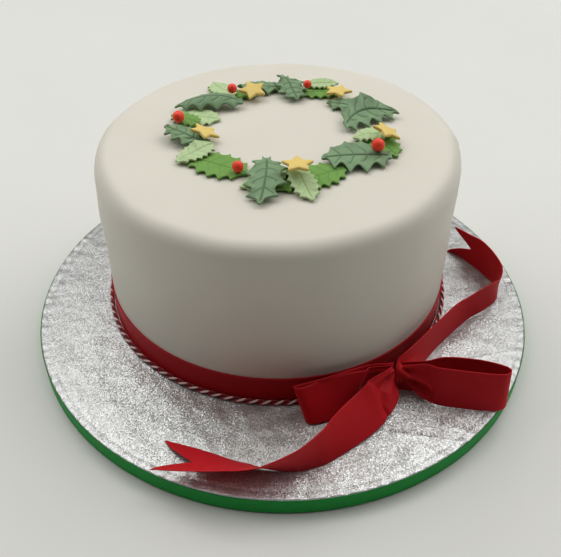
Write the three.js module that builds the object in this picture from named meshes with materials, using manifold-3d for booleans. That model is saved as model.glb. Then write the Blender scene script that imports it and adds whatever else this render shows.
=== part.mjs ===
// An iced Christmas cake on a round foil drum: a flat-topped cake with a wreath of
// sugar-paste holly leaves, stars and berries, a red band and a twine round its foot,
// a tied red bow lying on the drum and a green ribbon round the drum's edge.
// Millimetres, +Z up, origin at the middle of the drum's underside.
import * as THREE from "three";
import Module from "manifold-3d";

const wasm = await Module();
wasm.setup();

// Drum and its edge ribbon
const drumRadius = 151.4;
const drumHeight = 12;
const drumEdge = 0.8;
const edgeRibbonInner = 151.6;
const edgeRibbonOuter = 152.4;
const edgeRibbonLow = 0.6;
const edgeRibbonHigh = 11;

// Cake, set back on the drum to leave room for the bow; its top slopes by about a degree
const cakeX = -3.65;
const cakeY = 15.1;
const cakeFootRadius = 105;
const cakeTopRadius = 104.2;
const cakeHeight = 105;
const cakeEdge = 9.5;
const cakeSlope = 0.018;

// Band and twine round the foot
const bandGap = 0.15;
const bandThickness = 0.7;
const bandHeight = 18;
const twineRadius = 1.5;
const twineRing = 107.7;

// Bow ribbon and knot
const ribbonWidth = 23;
const ribbonThickness = 0.9;
const leftNotch = 20;
const rightNotch = 15;
const knotSize = new THREE.Vector3(11, 10, 18);
const knotPlace = new THREE.Vector3(64.5, -79.5, 13);

// Wreath pieces
const leafThickness = 1.4;
const restGap = 0.2;
const starTip = 9.2;
const starValley = 4.9;
const starThickness = 2.3;
const starBevel = 0.7;

const roundSteps = 84;
const drumTop = drumHeight;
const cakeTop = drumTop + cakeHeight;

const palette = {
  foil: new THREE.MeshStandardMaterial({ color: 0xb9bab8, roughness: 0.35, metalness: 0.9 }),
  edgeRibbon: new THREE.MeshStandardMaterial({ color: 0x1f7a36, roughness: 0.45, metalness: 0 }),
  icing: new THREE.MeshStandardMaterial({ color: 0xe6e1d6, roughness: 0.6, metalness: 0 }),
  bowRibbon: new THREE.MeshStandardMaterial({ color: 0x8e1820, roughness: 0.45, metalness: 0 }),
  twine: new THREE.MeshStandardMaterial({ color: 0xb06a6c, roughness: 0.8, metalness: 0 }),
  sage: new THREE.MeshStandardMaterial({ color: 0x86a086, roughness: 0.65, metalness: 0 }),
  green: new THREE.MeshStandardMaterial({ color: 0x78a159, roughness: 0.65, metalness: 0 }),
  pale: new THREE.MeshStandardMaterial({ color: 0xb4c998, roughness: 0.65, metalness: 0 }),
  star: new THREE.MeshStandardMaterial({ color: 0xe4cb80, roughness: 0.65, metalness: 0 }),
  berry: new THREE.MeshStandardMaterial({ color: 0xc7372c, roughness: 0.4, metalness: 0 }),
};

const object = new THREE.Group();

function addPiece(name, geometry, material) {
  const mesh = new THREE.Mesh(geometry, material);
  mesh.name = name;
  object.add(mesh);
  return mesh;
}

// A turned solid about +Z from [radius, height] pairs that start and end on the axis
// or close on themselves.
function turned(profile, steps) {
  const points = profile.map(([radius, height]) => new THREE.Vector2(radius, height));
  const geometry = new THREE.LatheGeometry(points, steps);
  geometry.rotateX(Math.PI / 2);
  return geometry;
}

// Drum board
const drumProfile = [
  [0, 0],
  [drumRadius - drumEdge, 0],
  [drumRadius, drumEdge],
  [drumRadius, drumHeight - drumEdge],
  [drumRadius - drumEdge, drumHeight],
  [0, drumHeight],
];
addPiece("board", turned(drumProfile, roundSteps), palette.foil);

// Ribbon round the drum's edge
const edgeProfile = [
  [edgeRibbonInner, edgeRibbonLow],
  [edgeRibbonOuter, edgeRibbonLow],
  [edgeRibbonOuter, edgeRibbonHigh],
  [edgeRibbonInner, edgeRibbonHigh],
  [edgeRibbonInner, edgeRibbonLow],
];
addPiece("board_ribbon", turned(edgeProfile, roundSteps), palette.edgeRibbon);

// Radius of the cake's upright side at a height above the drum
function sideRadius(height) {
  return THREE.MathUtils.lerp(cakeFootRadius, cakeTopRadius, height / cakeHeight);
}

// Cake: straight side, rounded top edge, the whole sheared so that the top slopes along X
function cakeGeometry() {
  const profile = [[0, 0], [cakeFootRadius, 0]];
  const edgeSteps = 6;
  for (let step = 0; step <= edgeSteps; step++) {
    const turn = (step / edgeSteps) * Math.PI / 2;
    const radius = cakeTopRadius - cakeEdge + cakeEdge * Math.cos(turn);
    profile.push([radius, cakeHeight - cakeEdge + cakeEdge * Math.sin(turn)]);
  }
  profile.push([0, cakeHeight]);
  const geometry = turned(profile, roundSteps);
  const place = geometry.getAttribute("position");
  for (let i = 0; i < place.count; i++) {
    const lift = cakeSlope * place.getX(i) * place.getZ(i) / cakeHeight;
    place.setZ(i, place.getZ(i) + lift);
  }
  geometry.translate(cakeX, cakeY, drumTop);
  return geometry;
}
addPiece("cake", cakeGeometry(), palette.icing);

// Red band round the foot
const bandLow = 0.3;
const bandHigh = bandLow + bandHeight;
const bandProfile = [
  [sideRadius(bandLow) + bandGap, bandLow],
  [sideRadius(bandLow) + bandGap + bandThickness, bandLow],
  [sideRadius(bandHigh) + bandGap + bandThickness, bandHigh],
  [sideRadius(bandHigh) + bandGap, bandHigh],
  [sideRadius(bandLow) + bandGap, bandLow],
];
const band = addPiece("base_ribbon", turned(bandProfile, roundSteps), palette.bowRibbon);
band.position.set(cakeX, cakeY, drumTop);

// Twine round the foot, a round cord in a ring
const twine = new THREE.TorusGeometry(twineRing, twineRadius, 8, roundSteps);
const twineMesh = addPiece("twine", twine, palette.twine);
twineMesh.position.set(cakeX, cakeY, drumTop + twineRadius + 0.1);

// Bow: each strip runs through stations of [x, y, height above the drum, direction across
// the ribbon (x, y, z), share of the full width]
const leftTail = [
  [60.5, -82, 15.5, -0.22, -0.2, 0.95, 0.42],
  [55.2, -91, 13.2, -0.74, -0.12, 0.66, 1],
  [51.4, -97.7, 11.6, -0.62, 0.25, 0.74, 1],
  [46.4, -103.3, 10.3, -0.54, 0.4, 0.74, 1],
  [40.6, -109.2, 10.1, -0.44, 0.46, 0.77, 1],
  [33.4, -116.4, 10.8, -0.32, 0.42, 0.85, 1],
  [26, -123.8, 11.2, -0.2, 0.3, 0.93, 1],
  [18.9, -130.3, 11.8, -0.07, 0.16, 0.98, 1],
  [6.7, -137.4, 11.8, 0, -0.16, 0.985, 1],
  [-9, -140.6, 11, -0.1, -0.52, 0.85, 1],
  [-19.3, -139.6, 9.6, -0.12, -0.67, 0.73, 1],
  [-27, -138.1, 8.7, -0.12, -0.73, 0.67, 1],
  [-44, -133.2, 5.9, -0.14, -0.87, 0.46, 1],
  [-64, -128.3, 3.7, -0.18, -0.95, 0.26, 1],
];
const rightTail = [
  [65.8, -81.1, 16, -0.83, 0.3, 0.47, 0.38],
  [73.5, -70.5, 13, -0.5, -0.28, 0.82, 1],
  [90.5, -49.8, 11.9, -0.22, -0.16, 0.96, 1],
  [108.4, -29.8, 10.6, -0.43, -0.27, 0.86, 1],
  [120, -20.9, 10.3, -0.57, -0.3, 0.77, 1],
  [132.5, -11.3, 11.5, -0.31, -0.31, 0.9, 1],
  [137, -3.2, 10.4, -0.16, -0.5, 0.85, 1],
  [137.2, 8.3, 11.2, 0.1, -0.42, 0.9, 1],
  [131.7, 22.2, 12.1, 0, 0.01, 1, 1],
  [122.9, 35, 11.6, 0.11, -0.22, 0.97, 1],
  [114.3, 41.6, 12, 0.08, -0.1, 0.99, 1],
];
const rightLoop = [
  [66, -80.5, 13.5, 0, 0.15, 0.99, 0.42],
  [76, -85.4, 12.3, 0.06, 0.35, 0.93, 0.88],
  [84, -89.3, 12.1, -0.03, 0.32, 0.95, 1],
  [96.5, -91.2, 11.5, 0, 0.35, 0.94, 1],
  [109.4, -93, 11.5, 0, 0.33, 0.94, 1],
  [118.6, -93.4, 11.8, 0, 0.27, 0.96, 1],
  [122.6, -90.2, 12, -0.02, 0.2, 0.98, 1],
  [119.5, -86.3, 12, 0, 0.15, 0.99, 1],
  [107, -81.6, 12.1, 0, 0.1, 1, 1],
  [89, -79.6, 12.3, 0, 0.08, 1, 1],
  [77.5, -79.2, 12, 0, -0.08, 1, 0.86],
  [66, -77.5, 13, 0, 0, 1, 0.42],
];
const leftLoop = [
  [61, -79.4, 12.5, 0, 0, 1, 0.42],
  [46.4, -82.2, 10.8, 0.2, 0.2, 0.96, 0.62],
  [40.4, -91.2, 11.9, 0.34, 0.4, 0.85, 1],
  [33.5, -94.2, 11.6, 0.02, 0.42, 0.9, 1],
  [23, -98.5, 11, -0.25, 0.45, 0.86, 1],
  [13, -102.8, 11.3, -0.28, 0.33, 0.9, 1],
  [8.9, -101.7, 11.5, -0.3, 0.26, 0.92, 1],
  [11.8, -99.6, 11.4, -0.28, 0.2, 0.94, 1],
  [23.5, -95.5, 11.2, -0.24, 0.22, 0.95, 1],
  [36, -90.2, 11.6, -0.12, 0.2, 0.97, 1],
  [47, -80, 11.2, 0.03, 0.06, 1, 0.62],
  [61, -77.5, 13, 0, 0, 1, 0.42],
];

// One station between the given ones, by a smooth curve through them
function stationAt(stations, along) {
  const last = stations.length - 1;
  const index = Math.min(Math.floor(along), last - 1);
  const t = along - index;
  const before = stations[Math.max(index - 1, 0)];
  const from = stations[index];
  const to = stations[index + 1];
  const after = stations[Math.min(index + 2, last)];
  return from.map((value, k) => {
    const slopeFrom = (to[k] - before[k]) / 2;
    const slopeTo = (after[k] - value) / 2;
    const a = 2 * t ** 3 - 3 * t ** 2 + 1;
    const b = t ** 3 - 2 * t ** 2 + t;
    const c = -2 * t ** 3 + 3 * t ** 2;
    const d = t ** 3 - t ** 2;
    return a * value + b * slopeFrom + c * to[k] + d * slopeTo;
  });
}

// A place on the ribbon's middle surface: along in stations, across from -1 to 1
function ribbonPoint(stations, along, across) {
  const station = stationAt(stations, along);
  const direction = new THREE.Vector3(station[3], station[4], station[5]).normalize();
  const middle = new THREE.Vector3(station[0], station[1], station[2] + drumTop);
  return middle.addScaledVector(direction, across * station[6] * ribbonWidth / 2);
}

// A closed sheet from two grids of points, the first above the second
function closedSheet(upper, lower) {
  const rows = upper.length;
  const columns = upper[0].length;
  const positions = [];
  const faces = [];
  const at = (side, i, j) => (side * rows + i) * columns + j;
  for (const grid of [upper, lower]) {
    for (const row of grid) {
      for (const point of row) {
        positions.push(point.x, point.y, point.z);
      }
    }
  }
  const quad = (a, b, c, d) => faces.push(a, b, c, a, c, d);
  for (let i = 0; i + 1 < rows; i++) {
    for (let j = 0; j + 1 < columns; j++) {
      quad(at(0, i, j), at(0, i + 1, j), at(0, i + 1, j + 1), at(0, i, j + 1));
      const low = [at(1, i, j), at(1, i + 1, j), at(1, i + 1, j + 1), at(1, i, j + 1)];
      faces.push(low[0], low[2], low[1], low[0], low[3], low[2]);
    }
    quad(at(1, i, 0), at(1, i + 1, 0), at(0, i + 1, 0), at(0, i, 0));
    const end = columns - 1;
    quad(at(0, i, end), at(0, i + 1, end), at(1, i + 1, end), at(1, i, end));
  }
  for (let j = 0; j + 1 < columns; j++) {
    quad(at(0, 0, j), at(0, 0, j + 1), at(1, 0, j + 1), at(1, 0, j));
    const end = rows - 1;
    quad(at(1, end, j), at(1, end, j + 1), at(0, end, j + 1), at(0, end, j));
  }
  const geometry = new THREE.BufferGeometry();
  geometry.setAttribute("position", new THREE.Float32BufferAttribute(positions, 3));
  geometry.setIndex(faces);
  return geometry;
}

// A ribbon strip of even thickness; notch is the depth of the swallow-tail cut at its end and
// apex the cut's deepest place across the ribbon
function ribbonStrip(stations, steps, notch, apex) {
  const last = stations.length - 1;
  const endSpan = ribbonPoint(stations, last, 0).distanceTo(ribbonPoint(stations, last - 1, 0));
  const acrossPlaces = [-1, apex, 1];
  const upper = [];
  const lower = [];
  for (let step = 0; step <= steps; step++) {
    const share = step / steps;
    const upperRow = [];
    const lowerRow = [];
    for (const across of acrossPlaces) {
      const depth = across === apex ? notch / endSpan : 0;
      const cut = depth * Math.max(0, 4 * share - 3);
      const along = share * last - cut;
      const point = ribbonPoint(stations, along, across);
      const ahead = ribbonPoint(stations, Math.min(along + 0.02, last), across);
      const behind = ribbonPoint(stations, Math.max(along - 0.02, 0), across);
      const sideways = ribbonPoint(stations, along, 1).sub(ribbonPoint(stations, along, -1));
      const normal = ahead.sub(behind).cross(sideways).normalize();
      upperRow.push(point.clone().addScaledVector(normal, ribbonThickness / 2));
      lowerRow.push(point.clone().addScaledVector(normal, -ribbonThickness / 2));
    }
    upper.push(upperRow);
    lower.push(lowerRow);
  }
  return closedSheet(upper, lower);
}

function toSolid(geometry) {
  const vertProperties = geometry.getAttribute("position").array;
  const triVerts = Uint32Array.from(geometry.getIndex().array);
  return new wasm.Manifold(new wasm.Mesh({ numProp: 3, vertProperties, triVerts }));
}

// The knot: a rounded lump, wider in the middle, that the four strips run into
function knotGeometry() {
  const rings = 7;
  const around = 12;
  const positions = [0, 0, -0.5];
  const faces = [];
  for (let ring = 1; ring < rings; ring++) {
    const rise = (ring / rings) * Math.PI;
    for (let k = 0; k < around; k++) {
      const turn = (k / around) * 2 * Math.PI;
      const radius = 0.5 * Math.sin(rise) ** 0.6;
      positions.push(radius * Math.cos(turn), radius * Math.sin(turn), -0.5 * Math.cos(rise));
    }
  }
  positions.push(0, 0, 0.5);
  const at = (ring, k) => 1 + (ring - 1) * around + (k % around);
  const topPole = 1 + (rings - 1) * around;
  for (let k = 0; k < around; k++) {
    faces.push(0, at(1, k + 1), at(1, k));
    faces.push(topPole, at(rings - 1, k), at(rings - 1, k + 1));
    for (let ring = 1; ring + 1 < rings; ring++) {
      faces.push(at(ring, k), at(ring, k + 1), at(ring + 1, k + 1));
      faces.push(at(ring, k), at(ring + 1, k + 1), at(ring + 1, k));
    }
  }
  const geometry = new THREE.BufferGeometry();
  geometry.setAttribute("position", new THREE.Float32BufferAttribute(positions, 3));
  geometry.setIndex(faces);
  geometry.scale(knotSize.x, knotSize.y, knotSize.z);
  geometry.rotateZ(THREE.MathUtils.degToRad(36));
  geometry.translate(knotPlace.x, knotPlace.y, knotPlace.z + drumTop);
  return geometry;
}

// The bow is one tied ribbon, so its strips and knot are one solid
function bowGeometry() {
  const strips = [
    ribbonStrip(leftTail, 40, leftNotch, 0.2),
    ribbonStrip(rightTail, 40, rightNotch, 0),
    ribbonStrip(rightLoop, 44, 0, 0),
    ribbonStrip(leftLoop, 36, 0, 0),
  ];
  let solid = toSolid(knotGeometry());
  for (const strip of strips) {
    solid = solid.add(toSolid(strip));
  }
  const mesh = solid.getMesh();
  const geometry = new THREE.BufferGeometry();
  geometry.setAttribute("position", new THREE.BufferAttribute(mesh.vertProperties, 3));
  geometry.setIndex(new THREE.BufferAttribute(mesh.triVerts, 1));
  return geometry;
}
addPiece("bow", bowGeometry(), palette.bowRibbon);

// Heights of the wreath above the icing, on a square grid over the cake top; each piece
// laid down raises the grid under it, and the next piece rests on that.
const cell = 0.5;
const reach = 85;
const cells = 2 * reach / cell + 1;
const laid = new Float64Array(cells * cells);

function laidHeight(x, y) {
  const column = Math.floor((x + reach) / cell);
  const row = Math.floor((y + reach) / cell);
  let height = 0;
  for (const offset of [0, 1, cells, cells + 1]) {
    height = Math.max(height, laid[row * cells + column + offset]);
  }
  return height;
}

// Raise the grid to a triangle's surface; corners are [x, y, height]
function layTriangle(a, b, c) {
  const area = (b[0] - a[0]) * (c[1] - a[1]) - (c[0] - a[0]) * (b[1] - a[1]);
  if (Math.abs(area) < 1e-9) {
    return;
  }
  const lowX = Math.floor((Math.min(a[0], b[0], c[0]) + reach) / cell);
  const highX = Math.ceil((Math.max(a[0], b[0], c[0]) + reach) / cell);
  const lowY = Math.floor((Math.min(a[1], b[1], c[1]) + reach) / cell);
  const highY = Math.ceil((Math.max(a[1], b[1], c[1]) + reach) / cell);
  for (let row = lowY; row <= highY; row++) {
    for (let column = lowX; column <= highX; column++) {
      const x = column * cell - reach;
      const y = row * cell - reach;
      const p = ((b[0] - x) * (c[1] - y) - (c[0] - x) * (b[1] - y)) / area;
      const q = ((c[0] - x) * (a[1] - y) - (a[0] - x) * (c[1] - y)) / area;
      const r = 1 - p - q;
      if (Math.min(p, q, r) > -0.12) {
        const height = p * a[2] + q * b[2] + r * c[2];
        const index = row * cells + column;
        laid[index] = Math.max(laid[index], height);
      }
    }
  }
}

// Holly cutters: teeth on each side and depth of the hollow scallops between them
const cutters = {
  sage: { teeth: 4, scallop: 0.32, curl: 0.9 },
  green: { teeth: 5, scallop: 0.24, curl: 0.3 },
  pale: { teeth: 6, scallop: 0.2, curl: 0.2 },
};
const firstTooth = 0.12;
const lastTooth = 0.82;

// Shares of the length at which a side's teeth stand, from stalk to tip
function toothPlaces(cutter) {
  const places = [0];
  for (let k = 0; k < cutter.teeth; k++) {
    places.push(THREE.MathUtils.lerp(firstTooth, lastTooth, k / (cutter.teeth - 1)));
  }
  places.push(1);
  return places;
}

// Half width over the tooth tips, as a share of the leaf's half width
function toothReach(share) {
  const fall = Math.min(1, Math.abs(2 * share - 0.96) ** 2.6);
  return Math.max(0.05, (1 - fall) ** 0.7);
}

// Half width of the outline: straight from tooth to tooth less the hollow of the scallop
function leafHalfWidth(cutter, share) {
  const places = toothPlaces(cutter);
  let k = 0;
  while (k + 2 < places.length && share > places[k + 1]) {
    k++;
  }
  const t = (share - places[k]) / (places[k + 1] - places[k]);
  const straight = THREE.MathUtils.lerp(toothReach(places[k]), toothReach(places[k + 1]), t);
  return straight - cutter.scallop * Math.sin(Math.PI * t) * Math.min(1, 1.6 * straight);
}

// Columns of a leaf: every tooth and the middle of every scallop
function leafColumns(cutter) {
  const places = toothPlaces(cutter);
  const columns = [places[0]];
  for (let k = 1; k < places.length; k++) {
    columns.push((places[k - 1] + places[k]) / 2, places[k]);
  }
  return columns;
}
const leafAcross = [-1, -0.5, 0, 0.5, 1];

// The bend a leaf is given before it is laid: arch along it, fold of both sides, roll about
// the midrib, rise from stalk to tip, a downward curl of the tooth tips and a corner that
// stands up, given by its place along and across and its height
function leafBend(leaf, cutter, share, across) {
  const toothPitch = (lastTooth - firstTooth) / (cutter.teeth - 1);
  const wave = Math.cos((2 * Math.PI * (share - firstTooth)) / toothPitch);
  const middle = 4 * share * (1 - share);
  const out = across * leafHalfWidth(cutter, share);
  const bend = leaf.arch * middle
    + leaf.fold * middle * across ** 2
    + leaf.roll * out
    + leaf.rise * (2 * share - 1);
  const [cornerShare, cornerAcross, cornerLift] = leaf.corner;
  const near = ((share - cornerShare) / 0.2) ** 2 + ((out - cornerAcross) / 0.5) ** 2;
  return bend + cornerLift * Math.exp(-near) - cutter.curl * wave * Math.abs(across) ** 3;
}

// Lay a leaf: its bend, pushed up wherever it would meet what already lies there
function layLeaf(leaf) {
  const cutter = cutters[leaf.tint];
  const columns = leafColumns(cutter);
  const turn = THREE.MathUtils.degToRad(leaf.heading);
  const sheet = columns.map((share) => leafAcross.map((across) => {
    const sweep = 0.04 * across ** 2 * Math.sin(Math.PI * share);
    const forward = leaf.length * (share - 0.5 + sweep);
    const bow = leaf.bow * (4 * share * (1 - share) - 0.5);
    const side = across * leafHalfWidth(cutter, share) * leaf.width / 2 + bow;
    const x = leaf.x + forward * Math.cos(turn) - side * Math.sin(turn);
    const y = leaf.y + forward * Math.sin(turn) + side * Math.cos(turn);
    return { x, y, bend: leafBend(leaf, cutter, share, across), push: 0 };
  }));
  const lowest = Math.min(...sheet.flat().map((point) => point.bend));
  sheet.flat().forEach((point) => {
    point.bend += restGap - lowest;
  });
  const triangles = [];
  for (let i = 0; i + 1 < columns.length; i++) {
    for (let j = 0; j + 1 < leafAcross.length; j++) {
      const corners = [sheet[i][j], sheet[i + 1][j], sheet[i + 1][j + 1], sheet[i][j + 1]];
      triangles.push([corners[0], corners[1], corners[2]], [corners[0], corners[2], corners[3]]);
    }
  }
  for (let round = 0; round < 60; round++) {
    if (round < 45) {
      relaxPush(sheet);
    }
    triangles.forEach(pushClear);
  }
  for (const corners of triangles) {
    layTriangle(...corners.map((p) => [p.x, p.y, p.bend + p.push + leafThickness]));
  }
  const face = (extra) => sheet.map((row) => row.map((point) => {
    return onIcing(point.x, point.y, point.bend + point.push + extra);
  }));
  return closedSheet(face(leafThickness), face(0));
}

// Even out the push between neighbours and let it sink a little
function relaxPush(sheet) {
  const before = sheet.map((row) => row.map((point) => point.push));
  sheet.forEach((row, i) => row.forEach((point, j) => {
    const near = [[i - 1, j], [i + 1, j], [i, j - 1], [i, j + 1]]
      .filter(([a, b]) => before[a] !== undefined && before[a][b] !== undefined)
      .map(([a, b]) => before[a][b]);
    const mean = near.reduce((sum, value) => sum + value, 0) / near.length;
    point.push = 0.97 * (0.5 * point.push + 0.5 * mean);
  }));
}

// Raise a triangle's corners until samples over it clear the pieces below
function pushClear(corners) {
  const parts = 5;
  for (let i = 0; i <= parts; i++) {
    for (let j = 0; i + j <= parts; j++) {
      const weights = [i / parts, j / parts, (parts - i - j) / parts];
      let x = 0;
      let y = 0;
      let height = 0;
      let square = 0;
      corners.forEach((point, k) => {
        x += weights[k] * point.x;
        y += weights[k] * point.y;
        height += weights[k] * (point.bend + point.push);
        square += weights[k] ** 2;
      });
      const short = laidHeight(x, y) + restGap - height;
      if (short > 0) {
        corners.forEach((point, k) => {
          point.push += short * weights[k] / square;
        });
      }
    }
  }
}

// A place on the sloping icing at a height above it
function onIcing(x, y, height) {
  return new THREE.Vector3(cakeX + x, cakeY + y, cakeTop + cakeSlope * x + height);
}

// Leaves from the lowest layer up: cutter, side of the wreath, middle from the cake's axis,
// heading of the tip in degrees from +X, length, width and the bend where it has one; bow is
// the midrib's sideways curve
const leaves = [
  ["pale", "left", -47.5, 22.5, 345, 29, 21],
  ["green", "left", -53.5, 16.5, 325, 21, 14],
  ["green", "left_front", -31.5, -31.5, 332, 38, 25],
  ["green", "right_front", 22.5, -42.5, 205, 30, 24],
  ["green", "right", 58, -9.5, 294, 34, 18],
  ["green", "back_right", 26, 52, 0, 30, 17],
  ["green", "back_left", -23, 50, 186, 24, 13],
  ["green", "front", 1.5, -45.5, 295, 26, 18],
  ["pale", "front", -6.5, -48, 200, 27, 14],
  ["pale", "right", 53.5, -3.5, 190, 23, 15],
  ["pale", "back_left", -34.5, 55, 120, 28, 16],
  ["pale", "back_right", 27, 59, 4, 22.5, 11, { roll: 1.5 }],
  ["sage", "left", -51, -4, 149, 31, 19, { arch: 1, rise: 2, roll: 0.6 }],
  ["pale", "left_front", -44.5, -20.5, 42, 25, 16.5],
  ["pale", "right_front", 13, -51, 290, 31, 15.5, { arch: 0.6 }],
  ["sage", "back_left", -9.5, 58, 178, 32, 18],
  ["sage", "back_right", 45, 33, 165, 32, 20],
  ["sage", "front", -6.5, -48.5, 266, 42, 23, { arch: 1, bow: 1.5, roll: 0.8, corner: [0.14, -0.7, 3] }],
  ["sage", "right_front", 42.5, -27, 183, 38, 30, { roll: -1.2, bow: -2 }],
  ["sage", "right_back", 52.6, 17, 26, 36, 27, { arch: 1, roll: 2.6, bow: 10, corner: [0.6, 0.9, 4.5] }],
  ["sage", "back", 8.3, 54, 284, 31, 19.5, { roll: -1, corner: [0.12, -0.7, 5.5] }],
  ["sage", "left_back", -41.5, 35, 186, 41, 19, { arch: 4, fold: -4.5, bow: -3.5 }],
];
for (const [tint, side, x, y, heading, length, width, bend] of leaves) {
  const flat = { arch: 0, fold: 0.3, roll: 0, rise: 0, bow: 0, corner: [0, 0, 0] };
  const leaf = { tint, x, y, heading, length, width, ...flat, ...bend };
  addPiece(`${tint}_leaf_${side}`, layLeaf(leaf), palette[tint]);
}

// Rest a rigid piece on the wreath: its mesh is lifted until its underside clears what lies
// below, and its top is laid on the grid
function layRigid(geometry, x, y) {
  const place = geometry.getAttribute("position");
  const index = geometry.getIndex();
  const corner = (k) => {
    const vertex = index ? index.getX(k) : k;
    return [x + place.getX(vertex), y + place.getY(vertex), place.getZ(vertex)];
  };
  const count = index ? index.count : place.count;
  const triangles = [];
  for (let k = 0; k < count; k += 3) {
    triangles.push([corner(k), corner(k + 1), corner(k + 2)]);
  }
  let lift = -Infinity;
  const parts = 6;
  for (const [a, b, c] of triangles) {
    for (let i = 0; i <= parts; i++) {
      for (let j = 0; i + j <= parts; j++) {
        const weights = [i / parts, j / parts, (parts - i - j) / parts];
        const point = a.map((value, k) => weights[0] * value + weights[1] * b[k] + weights[2] * c[k]);
        lift = Math.max(lift, laidHeight(point[0], point[1]) + restGap - point[2]);
      }
    }
  }
  for (const triangle of triangles) {
    layTriangle(...triangle.map(([px, py, pz]) => [px, py, pz + lift]));
  }
  for (let k = 0; k < place.count; k++) {
    const point = onIcing(x + place.getX(k), y + place.getY(k), place.getZ(k) + lift);
    place.setXYZ(k, point.x, point.y, point.z);
  }
  return geometry;
}

// Five-pointed star with soft edges
function starGeometry() {
  const shape = new THREE.Shape();
  for (let k = 0; k < 10; k++) {
    const turn = k * Math.PI / 5 + Math.PI / 2;
    const radius = (k % 2 === 0 ? starTip : starValley) - starBevel;
    const point = [radius * Math.cos(turn), radius * Math.sin(turn)];
    if (k === 0) {
      shape.moveTo(...point);
    } else {
      shape.lineTo(...point);
    }
  }
  shape.closePath();
  return new THREE.ExtrudeGeometry(shape, {
    depth: starThickness - 2 * starBevel,
    bevelEnabled: true,
    bevelThickness: starBevel,
    bevelSize: starBevel,
    bevelSegments: 1,
  });
}

// Stars: place, turn in the plane, then tilt in degrees about X and about Y
const stars = [
  { name: "star_left", x: -40.8, y: -3, turn: 39, tiltX: -7, tiltY: 18 },
  { name: "star_front", x: 10.6, y: -46.3, turn: 2, tiltX: -5, tiltY: 0 },
  { name: "star_right", x: 60.3, y: -8, turn: 22, tiltX: -5, tiltY: 22 },
  { name: "star_back_right", x: 36.8, y: 46.3, turn: 49, tiltX: -4, tiltY: 0 },
  { name: "star_back_left", x: -15.3, y: 47.8, turn: 25, tiltX: 12, tiltY: 0 },
];
for (const star of stars) {
  const geometry = starGeometry();
  geometry.rotateZ(THREE.MathUtils.degToRad(star.turn));
  geometry.rotateX(THREE.MathUtils.degToRad(star.tiltX));
  geometry.rotateY(THREE.MathUtils.degToRad(star.tiltY));
  addPiece(star.name, layRigid(geometry, star.x, star.y), palette.star);
}

// Berries
const berries = [
  { name: "berry_left", x: -57, y: 11.6, radius: 3.4 },
  { name: "berry_front", x: -20.5, y: -39.3, radius: 3.1 },
  { name: "berry_right", x: 54.1, y: -23.5, radius: 3.6 },
  { name: "berry_back", x: 18.2, y: 51.2, radius: 2.5 },
  { name: "berry_back_left", x: -27.8, y: 44.6, radius: 2.9 },
];
for (const berry of berries) {
  const geometry = new THREE.SphereGeometry(berry.radius, 12, 7);
  geometry.rotateX(Math.PI / 2);
  addPiece(berry.name, layRigid(geometry, berry.x, berry.y), palette.berry);
}

export default object;
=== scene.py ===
import bpy
import numpy as np
from mathutils import Matrix, Vector


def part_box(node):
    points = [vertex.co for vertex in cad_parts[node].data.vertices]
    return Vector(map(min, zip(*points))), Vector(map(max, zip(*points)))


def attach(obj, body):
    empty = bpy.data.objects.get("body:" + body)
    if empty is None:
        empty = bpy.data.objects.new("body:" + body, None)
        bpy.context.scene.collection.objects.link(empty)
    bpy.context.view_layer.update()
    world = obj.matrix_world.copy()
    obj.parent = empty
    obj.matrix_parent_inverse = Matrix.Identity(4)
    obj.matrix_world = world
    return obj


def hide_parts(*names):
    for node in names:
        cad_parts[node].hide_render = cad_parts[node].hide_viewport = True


# An iced Christmas cake on a foil drum, dressed around its solids. Sizes below are in
# millimetres and become metres where a mesh is made.
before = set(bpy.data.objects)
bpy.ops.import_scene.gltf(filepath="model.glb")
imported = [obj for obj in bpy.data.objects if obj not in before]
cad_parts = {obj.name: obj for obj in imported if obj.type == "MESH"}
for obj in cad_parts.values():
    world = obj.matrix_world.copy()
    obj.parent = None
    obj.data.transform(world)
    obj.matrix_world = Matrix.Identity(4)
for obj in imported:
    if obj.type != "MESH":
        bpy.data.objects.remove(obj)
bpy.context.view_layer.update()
mm = 0.001
scene = bpy.context.scene
scene.view_settings.view_transform = "Standard"  # plain colour, as a phone picture shows it
print("frame loaded:", len(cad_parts), "nodes")


# Colours, nodes and meshes


def linear(colour):  # sRGB hex to linear RGBA
    channels = np.array([int(colour[i:i + 2], 16) for i in (1, 3, 5)]) / 255
    curve = ((channels + 0.055) / 1.055) ** 2.4
    return (*np.where(channels <= 0.04045, channels / 12.92, curve).tolist(), 1.0)


def addNode(tree, kind, settings=None, links=None):
    # settings go to properties or input sockets by name, links name (node, output)
    made = tree.nodes.new("ShaderNode" + kind)
    for key, value in (settings or {}).items():
        if isinstance(key, str) and hasattr(made, key):
            setattr(made, key, value)
        else:
            made.inputs[key].default_value = value
    for key, (source, output) in (links or {}).items():
        tree.links.new(source.outputs[output], made.inputs[key])
    return made


def startMaterial(name, shaderSettings):
    material = bpy.data.materials.new(name)
    material.use_nodes = True
    tree = material.node_tree
    tree.nodes.clear()
    shader = addNode(tree, "BsdfPrincipled", shaderSettings)
    addNode(tree, "OutputMaterial", links={"Surface": (shader, "BSDF")})
    return material, tree, shader


mixLow, mixHigh, mixOut = 6, 7, 2  # the colour sockets of a Mix node


def finishMaterial(tree, shader, colour, normalNode, normalOutput="Normal"):
    tree.links.new(colour.outputs[mixOut], shader.inputs["Base Color"])
    tree.links.new(normalNode.outputs[normalOutput], shader.inputs["Normal"])


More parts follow.
